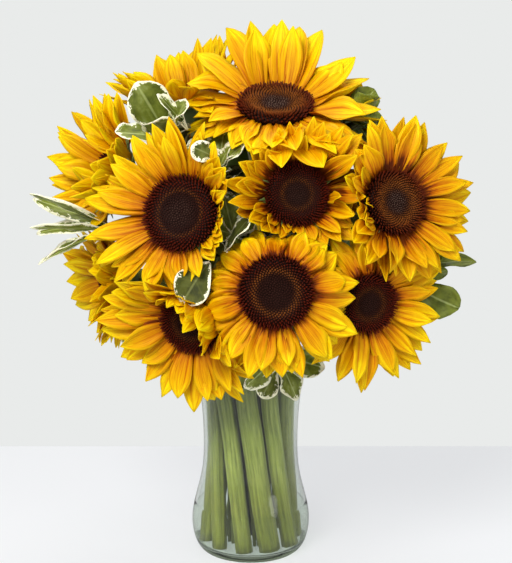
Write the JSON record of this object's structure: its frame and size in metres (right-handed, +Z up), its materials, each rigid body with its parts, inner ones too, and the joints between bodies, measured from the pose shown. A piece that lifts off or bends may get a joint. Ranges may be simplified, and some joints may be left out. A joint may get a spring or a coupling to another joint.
{
  "type": "sunflowers in a glass vase",
  "caption": "Bunch of cut sunflowers with white-edged pittosporum, standing in a waisted clear glass vase with a little water.",
  "frame": {"origin": "centre of the flat face under the vase's foot", "axes": "+Z up along the vase's axis, -Y towards the front of the bunch, +X to the right as seen from the front"},
  "size_m": [0.3728, 0.2964, 0.4668],
  "materials": {
    "clear_glass": "clear soda glass with a faint green tint, fire-polished",
    "water": "clear water",
    "stem_green": "fresh green stem, ribbed and slightly hairy",
    "petal_yellow": "soft satin petal, deeper orange at its base",
    "disc_brown": "rough, spiky florets, near black",
    "leaf_green": "waxy leaf with a cream margin"
  },
  "bodies": {
    "root": {"glass_vase": "clear_glass", "water": "water", "stem_front": "stem_green", "petals_front": "petal_yellow", "disc_front": "disc_brown", "stem_left": "stem_green", "petals_left": "petal_yellow", "disc_left": "disc_brown", "stem_right": "stem_green", "petals_right": "petal_yellow", "disc_right": "disc_brown", "stem_middle": "stem_green", "petals_middle": "petal_yellow", "disc_middle": "disc_brown", "stem_top": "stem_green", "petals_top": "petal_yellow", "disc_top": "disc_brown", "stem_lower_right": "stem_green", "petals_lower_right": "petal_yellow", "disc_lower_right": "disc_brown", "stem_lower_left": "stem_green", "petals_lower_left": "petal_yellow", "disc_lower_left": "disc_brown", "stem_far_left": "stem_green", "petals_far_left": "petal_yellow", "disc_far_left": "disc_brown", "stem_upper_left": "stem_green", "petals_upper_left": "petal_yellow", "disc_upper_left": "disc_brown", "stem_low_left": "stem_green", "petals_low_left": "petal_yellow", "disc_low_left": "disc_brown", "stem_back_right": "stem_green", "petals_back_right": "petal_yellow", "disc_back_right": "disc_brown", "stem_back": "stem_green", "petals_back": "petal_yellow", "disc_back": "disc_brown", "stem_low_back": "stem_green", "petals_low_back": "petal_yellow", "disc_low_back": "disc_brown", "sprig_shoulder": "leaf_green", "sprig_side": "leaf_green", "sprig_crown_gap": "leaf_green", "sprig_front_gap": "leaf_green", "sprig_left_gap": "leaf_green", "sprig_mid_gap": "leaf_green", "sprig_top_right": "leaf_green", "sprig_right_side": "leaf_green", "sprig_lip_right": "leaf_green", "sprig_low_side": "leaf_green", "sprig_back_low": "leaf_green", "sprig_back_side": "leaf_green", "sprig_back_mid": "leaf_green", "sprig_back_top": "leaf_green", "sprig_right_back": "leaf_green"}
  },
  "joints": []
}
